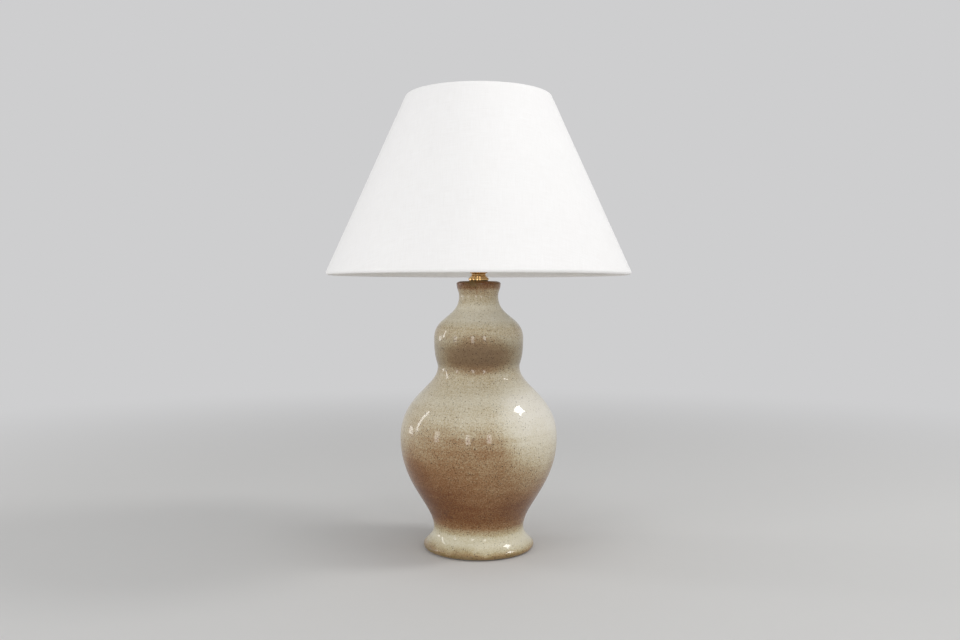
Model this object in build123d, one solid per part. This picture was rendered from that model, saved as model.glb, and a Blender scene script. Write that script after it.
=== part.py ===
from build123d import *
import math
import os

# Double gourd table lamp: a hollow glazed stoneware body on a felt foot, a threaded pipe that clamps
# the fittings to it, a lamp socket with a turn switch and a bulb, and a harp that carries a round
# tapered shade under a finial. Millimetres, +Z up. The origin lies on the table under the middle of
# the foot. The front faces -Y, the harp stands in the X-Z plane and the cord inlet is at the back.

# Clearances
seat_gap = 0.1          # between faces that rest on each other but belong to pieces that move apart
pin_gap = 0.05          # radial, a turning or sliding pin in its hole
pipe_gap = 0.2          # radial, washers and brass parts slipped over the pipe
nest_gap = 0.15         # radial, a tube or block slipped into another
cutter_over = 1.0       # how far a cutter runs past what it cuts

# Felt under the foot
felt_thick = 1.5
felt_inset = 2.0

# Stoneware body. Its outline stands upright at each radius below, and each rise is the height from
# the upright place before it. The fullness pairs say how long a flank keeps to the upright at its
# lower and at its upper end, as a share of its own rise.
foot_edge_r = 66.0
foot_flare_r = 68.0
foot_flare_rise = 3.9
foot_waist_r = 55.6
foot_waist_rise = 20.7
belly_r = 96.6
belly_rise = 110.7
waist_r = 50.7
waist_rise = 87.3
bulb_r = 55.3
bulb_rise = 34.7
neck_r = 24.2
neck_rise = 53.0
lip_r = 27.3
lip_rise = 14.6
crown_rise = 3.1
crown_round = 7.0
foot_fullness = (0.18, 0.58)
belly_lower_fullness = (0.25, 0.51)
belly_upper_fullness = (0.60, 0.29)
waist_fullness = (0.18, 0.75)
shoulder_fullness = (0.54, 0.52)
neck_fullness = (0.30, 0.40)
circle_fullness = 0.5523    # makes a quarter of a circle or ellipse out of one curve
body_wall = 6.0
floor_thick = 7.0
crown_thick = 6.0
foot_recess_r = 50.0
foot_recess_depth = 15.0
pipe_hole_r = 6.5

# Cord inlet at the back of the foot
cord_hole_height = 8.0      # above the felt
cord_hole_r = 4.7
cord_bore_r = 3.3
grommet_flange_r = 6.4
grommet_flange_thick = 1.6

# Threaded pipe and what it clamps
pipe_r = 5.15
pipe_bore_r = 3.5
pipe_below_nut = 1.5
pipe_in_cap = 6.5
seat_washer_r = 25.0
seat_washer_thick = 2.0
lock_washer_r = 8.6
lock_washer_thick = 1.4
lock_washer_split = 1.2
nut_flats = 14.3
nut_thick = 4.8
neck_washer_r = 11.6
neck_washer_thick = 1.0
check_ring_r = 12.5
check_ring_thick = 3.2
check_ring_round = 1.2
spool_r = 10.8
spool_waist_r = 8.6
spool_height = 7.0
spool_band = 1.3

# Saddle that the harp plugs into
strap_thick = 1.6
strap_width = 13.0
strap_flat = 17.0           # half length of its flat middle
ear_x = 29.0                # middle of each upright ear
ear_foot_rise = 13.0
ear_bend_r = 6.0
ear_shoulder_rise = 17.0
ear_shoulder_width = 8.0
tongue_length = 12.0
tongue_width = 5.0

# Harp
harp_height = 203.0         # from under the saddle to the seat of the shade
harp_wire_r = 1.65
harp_half_width = 54.0
harp_tongue_thick = 2.0
harp_flare_length = 3.0     # where the flattened tongue grows into the round wire
harp_leg_length = 27.0
harp_shoulder_rise = 50.0
harp_corner_r = 60.0
harp_corner_turn = 40.0
harp_pad_length = 17.0
harp_pad_width = 8.0
harp_pad_thick = 2.4
harp_pad_round = 2.0

# Ferrules that lock the harp's legs to the ears
ferrule_length = 14.0
ferrule_wall = 1.5
ferrule_corner_r = 2.7
ferrule_gap = 0.35
ferrule_taper = 0.8         # by which its upper end is smaller
ferrule_bead = 0.6
ferrule_bead_height = 1.6

# Swivel on top of the harp
swivel_r = 2.5
swivel_head_r = 4.2
swivel_head_thick = 1.5
swivel_collar_r = 7.0
swivel_collar_thick = 2.5
stud_r = 3.1
stud_length = 13.0
stud_chamfer = 0.5

# Shade
shade_bottom_r = 187.0
shade_top_r = 88.8
shade_height = 217.6
shade_recess = 11.9         # how far the hub lies below the top rim
cover_thick = 0.6
liner_thick = 0.6
ring_wire_r = 1.6
ring_gap = 0.3              # all round the wire ring in its rolled edge
tuck_length = 8.0           # of the cover's flap inside each rim
hub_r = 11.0
hub_thick = 3.4
hub_hole_gap = 0.25
hub_edge = 0.7
arm_wire_r = 1.4
arm_count = 3
arm_first_angle = 90.0
arm_bend_back = 12.0        # how far inside the top ring the arms bend up
arm_bend_r = 6.0

# Finial
finial_base_r = 6.2
finial_base_height = 3.0
finial_neck_r = 5.6
finial_ball_r = 7.5
finial_height = 20.0
insert_r = 4.4
insert_length = 9.0
insert_depth = 11.0         # of the blind hole that holds it

# Lamp socket
cap_neck_r = 7.4
cap_neck_height = 7.0
cap_dome_height = 8.0
cap_skirt_height = 6.0
cap_wall = 0.8
cap_hub_length = 9.0
set_screw_r = 1.6
set_screw_height = 3.6
set_screw_proud = 1.6
set_screw_slot = 0.6
shell_r = 16.4
shell_wall = 0.7
shell_length = 45.0
shell_in_cap = 5.5
shell_bead = 0.5
shell_bead_height = 1.5
sleeve_wall = 0.6
sleeve_short = 1.0          # the card sleeve stops short of the shell at both ends
housing_start = 2.0         # above the lower end of the shell
housing_height = 17.5
housing_flat_x = 11.5
housing_chamfer = 1.8
screw_shell_r = 13.9
screw_shell_wall = 0.5
screw_shell_length = 22.0
screw_shell_hole_r = 7.2
contact_thick = 0.5
contact_width = 5.0
contact_rise = 3.0
contact_reach = 5.5
contact_nose = 3.3          # its level end, past the middle
terminal_r = 3.2
terminal_head = 1.8
terminal_height = 6.5
terminal_slot = 0.8
terminal_clear = 1.0        # of the flat above each screw's head

# Turn switch
switch_height = 5.2         # of its axis above the cap
switch_shaft_r = 2.4
switch_shaft_start = 6.0
switch_shaft_end = 27.0
switch_slot_width = 9.0
knob_start = 18.6
knob_collar_r = 4.8
knob_collar_length = 4.5
knob_wing_width = 13.0
knob_wing_thick = 4.4
knob_wing_length = 10.0
knob_wing_round = 2.1
knob_root_width = 8.6       # of the wing where it leaves the collar
knob_root_thick = 5.7
knob_socket_depth = 9.0

# Bulb
bulb_gap = 0.15             # over the centre contact
bulb_length = 108.0
bulb_glass_r = 30.0
bulb_glass_wall = 0.9
bulb_glass_fullness = (0.35, 0.55)
bulb_neck_r = 12.3
bulb_neck_in_base = 5.0
bulb_base_r = 12.9
bulb_base_wall = 0.4
bulb_base_length = 25.0
pip_r = 4.6
pip_thick = 1.6
insulator_height = 4.2
insulator_top_r = 10.4
insulator_lip = 1.6

# Heights that several pieces share
body_foot_z = felt_thick
flare_z = body_foot_z + foot_flare_rise
lip_z = flare_z + foot_waist_rise + belly_rise + waist_rise + bulb_rise + neck_rise + lip_rise
body_top_z = lip_z + crown_rise
recess_top_z = body_foot_z + foot_recess_depth
cord_z = body_foot_z + cord_hole_height
nut_z = recess_top_z - seat_washer_thick - lock_washer_thick - nut_thick
check_ring_z = body_top_z + neck_washer_thick
spool_z = check_ring_z + check_ring_thick
saddle_z = spool_z + spool_height
ear_shoulder_z = saddle_z + ear_shoulder_rise
cap_z = saddle_z + strap_thick
cap_skirt_z = cap_z + cap_neck_height + cap_dome_height
cap_top_z = cap_skirt_z + cap_skirt_height
shell_z = cap_top_z - shell_in_cap
shell_top_z = shell_z + shell_length
housing_z = shell_z + housing_start
housing_top_z = housing_z + housing_height
switch_z = cap_top_z + switch_height
contact_top_z = housing_top_z + contact_rise
bulb_z = contact_top_z + bulb_gap
bulb_base_top_z = bulb_z + bulb_base_length
hub_z = saddle_z + harp_height
shade_top_z = hub_z + shade_recess
shade_bottom_z = shade_top_z - shade_height

# Sizes that follow from the ones above
shade_slant = math.atan2(shade_bottom_r - shade_top_r, shade_height)
shade_slant_length = math.hypot(shade_bottom_r - shade_top_r, shade_height)
ring_depth = cover_thick + liner_thick + ring_gap + ring_wire_r
roll_r = liner_thick / 2 + ring_wire_r + ring_gap
roll_depth = cover_thick + roll_r
harp_leg_x = ear_x - strap_thick / 2 - nest_gap - harp_tongue_thick / 2
harp_leg_z = ear_shoulder_z + seat_gap
harp_pad_z = hub_z - swivel_collar_thick - seat_gap - harp_pad_thick / 2
cap_skirt_r = shell_r + pin_gap + cap_wall
sleeve_r = shell_r - shell_wall - nest_gap
housing_r = sleeve_r - sleeve_wall - nest_gap

# Planes in which the shade's wall is drawn: x points out of the shade, y runs into it from the rim.
shade_out = (math.cos(shade_slant), 0, math.sin(shade_slant))
lower_rim = Plane(origin=(shade_bottom_r, 0, shade_bottom_z), x_dir=shade_out, z_dir=(0, -1, 0))
upper_rim = Plane(origin=(shade_top_r, 0, shade_top_z), x_dir=shade_out, z_dir=(0, 1, 0))


def turned(section):
    """Turns a half section, drawn with x as radius and y as height, about the lamp's axis."""
    return revolve(Plane.XZ * section, Axis.Z, 360)


def disc(radius, z, height, hole_r=0.0):
    """Round plate or tube on the lamp's axis, standing on z."""
    section = Pos(radius / 2, z + height / 2) * Rectangle(radius, height)
    if hole_r > 0:
        section -= Pos(hole_r / 2, z + height / 2) * Rectangle(hole_r, 2 * height)
    return turned(section)


def upright_curve(start, end, fullness):
    """Flank of an outline that leaves both its ends standing upright."""
    rise = end[1] - start[1]
    lower = (start[0], start[1] + fullness[0] * rise)
    upper = (end[0], end[1] - fullness[1] * rise)
    return Bezier(start, lower, upper, end)


def quarter_curve(upright_end, level_end):
    """Rounded edge, a quarter of an ellipse, upright at one end and level at the other."""
    across = level_end[0] - upright_end[0]
    up = level_end[1] - upright_end[1]
    first = (upright_end[0], upright_end[1] + circle_fullness * up)
    second = (level_end[0] - circle_fullness * across, level_end[1])
    return Bezier(upright_end, first, second, level_end)


def gourd_face(inset):
    """Half section of the whole gourd, closed on the axis, with its outline moved in by inset."""
    flanks = (
        (foot_waist_r, foot_waist_rise, foot_fullness),
        (belly_r, belly_rise, belly_lower_fullness),
        (waist_r, waist_rise, belly_upper_fullness),
        (bulb_r, bulb_rise, waist_fullness),
        (neck_r, neck_rise, shoulder_fullness),
        (lip_r, lip_rise, neck_fullness),
    )
    point = (foot_flare_r - inset, flare_z)
    foot = (foot_edge_r - inset, body_foot_z)
    edges = [quarter_curve(point, foot)]
    for radius, rise, fullness in flanks:
        end = (radius - inset, point[1] + rise)
        edges.append(upright_curve(point, end, fullness))
        point = end
    crown_r = lip_r - inset - crown_round
    edges.append(quarter_curve(point, (crown_r, body_top_z)))
    edges.append(Polyline((crown_r, body_top_z), (0, body_top_z), (0, body_foot_z), foot))
    return make_face(edges)


def ceramic_body():
    """Hollow gourd with a closed crown, a raised floor inside its foot ring and the cord hole."""
    cavity_height = body_top_z - crown_thick - recess_top_z - floor_thick
    cavity_middle = recess_top_z + floor_thick + cavity_height / 2
    cavity = gourd_face(body_wall) & Pos(belly_r / 2, cavity_middle) * Rectangle(belly_r, cavity_height)
    recess = Pos(foot_recess_r / 2, body_foot_z) * Rectangle(foot_recess_r, 2 * foot_recess_depth)
    pipe_hole = Pos(pipe_hole_r / 2, body_top_z / 2) * Rectangle(pipe_hole_r, 2 * body_top_z)
    body = turned(gourd_face(0) - cavity - recess - pipe_hole)
    return body - cord_way(cord_hole_r)


def cord_way(radius):
    """Rod along the cord's way out through the back of the foot."""
    length = foot_flare_r - foot_recess_r + 2 * grommet_flange_r
    middle = (foot_flare_r + foot_recess_r) / 2
    return Pos(0, middle, cord_z) * Rot(90, 0, 0) * Cylinder(radius, length)


def cord_grommet():
    """Rubber bush whose two soft flanges follow the foot's outer face and the wall of its recess."""
    between_flanges = turned(gourd_face(-grommet_flange_thick))
    between_flanges -= disc(foot_recess_r - grommet_flange_thick, 0, 2 * recess_top_z)
    wall = turned(gourd_face(0)) - disc(foot_recess_r, 0, 2 * recess_top_z)
    waisted = cord_way(grommet_flange_r) - (wall - cord_way(cord_hole_r - pin_gap))
    return (waisted & between_flanges) - cord_way(cord_bore_r)


def felt_pad():
    """Felt disc glued under the foot ring."""
    return disc(foot_edge_r - felt_inset, 0, felt_thick)


def lamp_pipe():
    """Threaded pipe from under the bottom nut up into the hub of the socket cap."""
    bottom = nut_z - pipe_below_nut
    return disc(pipe_r, bottom, cap_z + pipe_in_cap - bottom, pipe_bore_r)


def seat_washer():
    """Broad steel washer that spreads the clamping force under the stoneware floor."""
    return disc(seat_washer_r, recess_top_z - seat_washer_thick, seat_washer_thick, pipe_r + pipe_gap)


def lock_washer():
    """Split spring washer between the nut and the broad washer."""
    ring = disc(lock_washer_r, nut_z + nut_thick, lock_washer_thick, pipe_r + pipe_gap)
    split = Box(2 * lock_washer_r, lock_washer_split, 3 * lock_washer_thick)
    return ring - Pos(lock_washer_r, 0, nut_z + nut_thick) * split


def bottom_nut():
    """Hexagon nut with its corners turned off on both faces."""
    hexagon = Pos(0, 0, nut_z) * extrude(RegularPolygon(nut_flats / 2, 6, major_radius=False), nut_thick)
    corner_r = nut_flats / math.sqrt(3)
    blank = disc(corner_r, nut_z, nut_thick)
    blank = chamfer(blank.edges().filter_by(GeomType.CIRCLE), (corner_r - nut_flats / 2) / 2)
    return (hexagon & blank) - disc(pipe_r + pin_gap, nut_z - nut_thick, 3 * nut_thick)


def neck_washer():
    """Thin rubber washer between the stoneware crown and the brass."""
    return disc(neck_washer_r, body_top_z, neck_washer_thick, pipe_r + pipe_gap)


def check_ring():
    """Brass ring on the crown, rounded at its upper edge."""
    ring = disc(check_ring_r, check_ring_z, check_ring_thick, pipe_r + pipe_gap)
    rim = ring.edges().filter_by(GeomType.CIRCLE).group_by(Axis.Z)[-1].sort_by(SortBy.RADIUS)[-1]
    return fillet(rim, check_ring_round)


def brass_neck():
    """Turned brass spool between the check ring and the saddle, with a hollow waist."""
    top = spool_z + spool_height
    hole = pipe_r + pipe_gap
    lower = Polyline((hole, spool_z), (spool_r, spool_z), (spool_r, spool_z + spool_band))
    hollow = (spool_waist_r, spool_z + spool_height / 2)
    waist = ThreePointArc(lower @ 1, hollow, (spool_r, top - spool_band))
    upper = Polyline(waist @ 1, (spool_r, top), (hole, top), (hole, spool_z))
    return turned(make_face([lower, waist, upper]))


def harp_saddle():
    """Bent strap under the socket, with two upright ears that narrow to tongues."""
    middle_z = saddle_z + strap_thick / 2
    top_z = ear_shoulder_z + tongue_length
    half = [(0, middle_z), (strap_flat, middle_z), (ear_x, middle_z + ear_foot_rise), (ear_x, top_z)]
    line = [(-x, 0, z) for x, z in reversed(half[1:])] + [(x, 0, z) for x, z in half[1:]]
    path = FilletPolyline(*line, radius=ear_bend_r)
    start = Plane(origin=path @ 0, x_dir=(0, 1, 0), z_dir=path % 0)
    strap = sweep(start * Rectangle(strap_width, strap_thick), path)
    right_side = [
        (strap_width / 2, saddle_z - strap_thick),
        (strap_width / 2, middle_z + ear_foot_rise / 2),
        (ear_shoulder_width / 2, ear_shoulder_z),
        (tongue_width / 2, ear_shoulder_z),
        (tongue_width / 2, top_z + strap_thick),
    ]
    side_view = right_side + [(-y, z) for y, z in reversed(right_side)]
    outline = make_face(Polyline(*side_view, close=True))
    strap &= extrude(Plane.YZ * outline, 2 * ear_x, both=True)
    return strap - disc(pipe_r + pipe_gap, saddle_z - strap_thick, 3 * strap_thick)


def harp_half():
    """Right half of the harp: flattened tongue, straight leg, shoulder, side and rounded top."""
    leg_top = (harp_leg_x, harp_leg_z + harp_leg_length)
    out = harp_half_width - harp_leg_x
    shoulder_turn = 2 * math.atan2(out, harp_shoulder_rise)
    shoulder_r = harp_shoulder_rise / (2 * math.sin(shoulder_turn))
    turn = math.radians(harp_corner_turn)
    top_start_x = harp_half_width - harp_corner_r * (1 - math.cos(turn))
    wire_end_x = harp_pad_length / 2 - harp_wire_r / 2
    top_r = (top_start_x - wire_end_x) / math.cos(turn)
    corner_rise = harp_corner_r * math.sin(turn) + top_r * (1 - math.sin(turn))
    side_length = harp_pad_z - corner_rise - harp_shoulder_rise - leg_top[1]

    round_z = harp_leg_z + tongue_length + harp_flare_length
    leg = Line((harp_leg_x, round_z), leg_top)
    flare_out = JernArc(leg @ 1, leg % 1, shoulder_r, -math.degrees(shoulder_turn))
    flare_up = JernArc(flare_out @ 1, flare_out % 1, shoulder_r, math.degrees(shoulder_turn))
    side = Line(flare_up @ 1, flare_up @ 1 + Vector(0, side_length))
    corner = JernArc(side @ 1, side % 1, harp_corner_r, harp_corner_turn)
    top = JernArc(corner @ 1, corner % 1, top_r, 90 - harp_corner_turn)
    path = Plane.XZ * Wire([leg, flare_out, flare_up, side, corner, top])
    wire = sweep(Pos(harp_leg_x, 0, round_z) * Circle(harp_wire_r), path)

    tongue_top_z = harp_leg_z + tongue_length
    flat_end = Pos(harp_leg_x, 0, tongue_top_z) * Rectangle(harp_tongue_thick, tongue_width)
    round_end = Pos(harp_leg_x, 0, round_z) * Circle(harp_wire_r)
    tongue = Box(harp_tongue_thick, tongue_width, tongue_length)
    tongue = Pos(harp_leg_x, 0, harp_leg_z + tongue_length / 2) * tongue
    return wire + tongue + loft([flat_end, round_end])


def harp_wire():
    """Bent wire loop with a flattened, pierced pad at its top."""
    half = harp_half()
    pad = Pos(0, 0, harp_pad_z) * Box(harp_pad_length, harp_pad_width, harp_pad_thick)
    pad = fillet(pad.edges().filter_by(Axis.Z), harp_pad_round)
    hole = disc(swivel_r + pin_gap, harp_pad_z - harp_pad_thick, 2 * harp_pad_thick)
    return half + mirror(half, Plane.YZ) + pad - hole


def ferrule(side):
    """Slightly tapered oval sleeve round one harp leg and the ear beside it."""
    inner_x = harp_leg_x - harp_wire_r - ferrule_gap
    outer_x = ear_x + strap_thick / 2 + ferrule_gap
    hollow_width = outer_x - inner_x
    hollow_depth = tongue_width + 2 * ferrule_gap
    place = Pos(side * (inner_x + outer_x) / 2, 0, ear_shoulder_z + seat_gap)
    width = hollow_width + 2 * ferrule_wall
    depth = hollow_depth + 2 * ferrule_wall
    foot = RectangleRounded(width, depth, ferrule_corner_r)
    mouth_corner_r = ferrule_corner_r - ferrule_taper / 2
    mouth = RectangleRounded(width - ferrule_taper, depth - ferrule_taper, mouth_corner_r)
    sleeve = loft([foot, Pos(0, 0, ferrule_length) * mouth])
    bead_face = RectangleRounded(width + ferrule_bead, depth + ferrule_bead, ferrule_corner_r)
    bead = extrude(bead_face, ferrule_bead_height)
    bead = fillet(bead.edges().group_by(Axis.Z)[-1], ferrule_bead / 2)
    hollow = extrude(Rectangle(hollow_width, hollow_depth), ferrule_length)
    return place * (sleeve + bead - hollow)


def harp_swivel():
    """Riveted swivel: head below the harp's pad, shank through it, collar and stud above it."""
    pad_top = harp_pad_z + harp_pad_thick / 2 + seat_gap
    pad_bottom = harp_pad_z - harp_pad_thick / 2 - seat_gap
    head = disc(swivel_head_r, pad_bottom - swivel_head_thick, swivel_head_thick)
    head = fillet(head.edges().group_by(Axis.Z)[0], swivel_head_thick / 2)
    shank = disc(swivel_r, pad_bottom, pad_top - pad_bottom)
    collar = disc(swivel_collar_r, pad_top, swivel_collar_thick)
    stud = disc(stud_r, hub_z, stud_length)
    stud = chamfer(stud.edges().group_by(Axis.Z)[-1], stud_chamfer)
    return head + shank + collar + stud


def wall_layer(outer_x, thick):
    """Section of one layer of the shade's wall, in the plane of the lower rim."""
    length = shade_slant_length - 2 * roll_depth
    return Pos(outer_x - thick / 2, shade_slant_length / 2) * Rectangle(thick, length)


def rolled_edge():
    """Section of the cover where it rolls round a rim and runs back to the liner as a flap."""
    flap_end_x = roll_depth - cover_thick - liner_thick - ring_gap
    flap_length = math.sqrt(flap_end_x**2 + tuck_length**2 - roll_r**2)
    lean = math.atan2(roll_r, flap_length) + math.atan2(flap_end_x, tuck_length)
    turn = Rot(0, 0, -math.degrees(lean))
    half_roll = Circle(roll_depth) - Circle(roll_r)
    half_roll -= Pos(0, roll_depth) * Rectangle(2 * roll_depth, 2 * roll_depth)
    flap = Pos(-roll_r - cover_thick / 2, flap_length / 2) * Rectangle(cover_thick, flap_length)
    return Pos(-roll_depth, roll_depth) * (half_roll + turn * half_roll + turn * flap)


def shade_cover():
    """Fabric cover of the shade, rolled round the wire ring at both rims."""
    edge = rolled_edge()
    halfway = Plane(origin=(0, shade_slant_length / 2, 0), z_dir=(0, 1, 0))
    section = wall_layer(0, cover_thick) + edge + mirror(edge, halfway)
    return revolve(lower_rim * section, Axis.Z, 360) - arm_wires(ring_gap)


def shade_liner():
    """Stiff liner that the cover is laminated to."""
    return revolve(lower_rim * wall_layer(-cover_thick, liner_thick), Axis.Z, 360)


def rim_ring(rim):
    """Wire ring inside the rolled edge at one rim."""
    return revolve(rim * Pos(-ring_depth, roll_depth) * Circle(ring_wire_r), Axis.Z, 360)


def arm_wires(extra=0.0):
    """Three wires from the hub out to the top ring, bent up near their ends."""
    ring_centre = upper_rim.from_local_coords((-ring_depth, roll_depth, 0))
    middle_z = hub_z + hub_thick / 2
    path = FilletPolyline(
        (hub_r, 0, middle_z),
        (ring_centre.X - arm_bend_back, 0, middle_z),
        (ring_centre.X, 0, ring_centre.Z),
        radius=arm_bend_r,
    )
    wire = sweep(Plane(origin=path @ 0, z_dir=path % 0) * Circle(arm_wire_r + extra), path)
    step = 360 / arm_count
    return [Rot(0, 0, arm_first_angle + step * number) * wire for number in range(arm_count)]


def spider_arms():
    """The arms, each ending in a seat on the top ring."""
    ring = rim_ring(upper_rim)
    return Compound([arm - ring for arm in arm_wires()])


def spider_hub():
    """Pierced disc that sits on the swivel's collar."""
    hub = disc(hub_r, hub_z, hub_thick)
    hub = chamfer(hub.edges().filter_by(GeomType.CIRCLE), hub_edge)
    return hub - disc(stud_r + hub_hole_gap, hub_z - hub_thick, 3 * hub_thick)


def finial():
    """Turned brass knob: base, short waist and ball, with a blind hole for its insert."""
    base_z = hub_z + hub_thick + seat_gap
    ball_z = base_z + finial_height - finial_ball_r
    waist_z = base_z + finial_base_height
    meet_z = ball_z - math.sqrt(finial_ball_r**2 - finial_neck_r**2)
    stem = Polyline(
        (0, base_z),
        (finial_base_r, base_z),
        (finial_base_r, waist_z),
        (finial_neck_r, waist_z),
        (finial_neck_r, meet_z),
    )
    ball = ThreePointArc((finial_neck_r, meet_z), (finial_ball_r, ball_z), (0, ball_z + finial_ball_r))
    knob = turned(make_face([stem, ball, Line(ball @ 1, stem @ 0)]))
    return knob - disc(insert_r + pin_gap, base_z, insert_depth)


def finial_insert():
    """Threaded steel insert inside the finial, round the stud."""
    return disc(insert_r, hub_z + hub_thick + seat_gap, insert_length, stud_r + pin_gap)


def socket_cap():
    """Brass cap: threaded hub, neck, rounded dome and the skirt that the shell snaps into."""
    dome_z = cap_z + cap_neck_height
    inner_r = cap_skirt_r - cap_wall
    outside = Polyline((cap_neck_r, cap_z), (cap_neck_r, dome_z))
    dome = quarter_curve((cap_skirt_r, cap_skirt_z), (cap_neck_r, dome_z))
    skirt = Polyline(
        (cap_skirt_r, cap_skirt_z),
        (cap_skirt_r, cap_top_z),
        (inner_r, cap_top_z),
        (inner_r, cap_skirt_z),
    )
    inner_dome = quarter_curve((inner_r, cap_skirt_z), (cap_neck_r, dome_z + cap_wall))
    hub_top = cap_z + cap_hub_length
    hub = Polyline(
        (cap_neck_r, dome_z + cap_wall),
        (cap_neck_r, hub_top),
        (pipe_r + pin_gap, hub_top),
        (pipe_r + pin_gap, cap_z),
        (cap_neck_r, cap_z),
    )
    shape = turned(make_face([outside, dome, skirt, inner_dome, hub]))
    return shape - set_screw_rod(set_screw_r + pin_gap)


def set_screw_rod(radius):
    """Rod from the pipe out through the back of the cap's neck."""
    start = pipe_r + pin_gap
    length = cap_neck_r + set_screw_proud - start
    return Pos(0, start + length / 2, cap_z + set_screw_height) * Rot(90, 0, 0) * Cylinder(radius, length)


def cap_set_screw():
    """Slotted grub screw that stops the cap turning on the pipe."""
    end = cap_neck_r + set_screw_proud
    slot = Pos(0, end, cap_z + set_screw_height) * Box(4 * set_screw_r, set_screw_proud, set_screw_slot)
    return set_screw_rod(set_screw_r) - slot


def switch_slot():
    """Cutter for the slot, open at its lower end, through which the switch shaft leaves."""
    height = switch_z - shell_z + switch_slot_width
    bar = Pos(0, -shell_r, switch_z - height / 2) * Box(switch_slot_width, shell_r, height)
    end = Pos(0, -shell_r, switch_z) * Rot(90, 0, 0) * Cylinder(switch_slot_width / 2, shell_r)
    return bar + end


def socket_shell():
    """Brass outer shell with a rolled upper edge."""
    shell = disc(shell_r, shell_z, shell_length)
    bead = disc(shell_r + shell_bead, shell_top_z - shell_bead_height, shell_bead_height)
    bead = fillet(bead.edges().filter_by(GeomType.CIRCLE), shell_bead)
    hollow = disc(shell_r - shell_wall, shell_z - cutter_over, shell_length + 2 * cutter_over)
    return shell + bead - hollow - switch_slot()


def insulating_sleeve():
    """Card tube between the shell and the live parts."""
    length = shell_length - 2 * sleeve_short
    return disc(sleeve_r, shell_z + sleeve_short, length, sleeve_r - sleeve_wall) - switch_slot()


def socket_body():
    """Moulded switch housing that carries the contacts, with a flat for each terminal."""
    block = disc(housing_r, housing_z, housing_height)
    block = chamfer(block.edges().group_by(Axis.Z)[0], housing_chamfer)
    flat_height = terminal_height + terminal_r + terminal_clear
    for side in (-1, 1):
        flat_x = side * (housing_flat_x + housing_r / 2)
        block -= Pos(flat_x, 0, housing_z + flat_height / 2) * Box(housing_r, 2 * housing_r, flat_height)
    hole_r = switch_shaft_r + pin_gap
    return block - switch_rod(switch_shaft_start - seat_gap, housing_r + cutter_over, hole_r)


def switch_rod(start, end, radius):
    """Rod on the switch's axis, between two distances in front of the lamp's axis."""
    return Pos(0, -(start + end) / 2, switch_z) * Rot(90, 0, 0) * Cylinder(radius, end - start)


def switch_shaft():
    """Steel shaft of the turn switch."""
    return switch_rod(switch_shaft_start, switch_shaft_end, switch_shaft_r)


def switch_knob():
    """Moulded knob: a round collar that spreads into a flat wing for finger and thumb."""
    front = Plane(origin=(0, -knob_start, switch_z), x_dir=(1, 0, 0), z_dir=(0, -1, 0))
    collar = extrude(front * Circle(knob_collar_r), knob_collar_length)
    wing_start = front.offset(knob_collar_length)
    wing_end = front.offset(knob_collar_length + knob_wing_length)
    root = wing_start * RectangleRounded(knob_root_width, knob_root_thick, knob_wing_round)
    tip = wing_end * RectangleRounded(knob_wing_width, knob_wing_thick, knob_wing_round)
    knob = collar + loft([root, tip])
    hole_end = knob_start + knob_socket_depth
    return knob - switch_rod(knob_start - cutter_over, hole_end, switch_shaft_r + pin_gap)


def screw_shell():
    """Brass cup that the bulb screws into, with a pierced floor."""
    cup = disc(screw_shell_r, housing_top_z, screw_shell_length)
    hollow = disc(screw_shell_r - screw_shell_wall, housing_top_z + screw_shell_wall, screw_shell_length)
    return cup - hollow - disc(screw_shell_hole_r, housing_top_z - cutter_over, screw_shell_length)


def centre_contact():
    """Sprung brass tongue under the bulb's contact."""
    low_z = housing_top_z + contact_thick / 2
    high_z = contact_top_z - contact_thick / 2
    path = FilletPolyline(
        (-contact_reach, 0, low_z),
        (-contact_reach / 2, 0, low_z),
        (0, 0, high_z),
        (contact_nose, 0, high_z),
        radius=contact_thick,
    )
    start = Plane(origin=path @ 0, x_dir=(0, 1, 0), z_dir=path % 0)
    return sweep(start * Rectangle(contact_width, contact_thick), path)


def terminal_screws():
    """Two slotted binding screws, one on each flat of the housing."""
    screws = []
    for side in (-1, 1):
        middle = side * (housing_flat_x + terminal_head / 2)
        screw_z = housing_z + terminal_height
        head = Pos(middle, 0, screw_z) * Rot(0, 90, 0) * Cylinder(terminal_r, terminal_head)
        slot_x = side * (housing_flat_x + terminal_head)
        slot = Pos(slot_x, 0, screw_z) * Box(terminal_head, 3 * terminal_r, terminal_slot)
        screws.append(head - slot)
    return Compound(screws)


def bulb_contact():
    """Round contact at the bottom of the bulb."""
    pip = disc(pip_r, bulb_z, pip_thick)
    return fillet(pip.edges().group_by(Axis.Z)[0], pip_thick / 2)


def bulb_insulator():
    """Black glass between the contact and the screw base."""
    low = bulb_z + pip_thick
    top = low + insulator_height
    neck_r = bulb_base_r - bulb_base_wall - pin_gap
    section = Polyline(
        (0, low),
        (pip_r + insulator_lip / 2, low),
        (insulator_top_r, top),
        (neck_r, top + insulator_lip),
        (neck_r, top + 2 * insulator_lip),
        (0, top + 2 * insulator_lip),
        close=True,
    )
    return turned(make_face(section))


def bulb_base_shell():
    """Screw base: a thin metal tube that draws in below to hold the insulator."""
    low = bulb_z + pip_thick + insulator_height
    tube = low + insulator_lip
    inner_r = bulb_base_r - bulb_base_wall
    section = Polyline(
        (insulator_top_r + pin_gap, low),
        (insulator_top_r + bulb_base_wall + pin_gap, low),
        (bulb_base_r, tube),
        (bulb_base_r, bulb_base_top_z),
        (inner_r, bulb_base_top_z),
        (inner_r, tube),
        close=True,
    )
    return turned(make_face(section))


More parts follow.
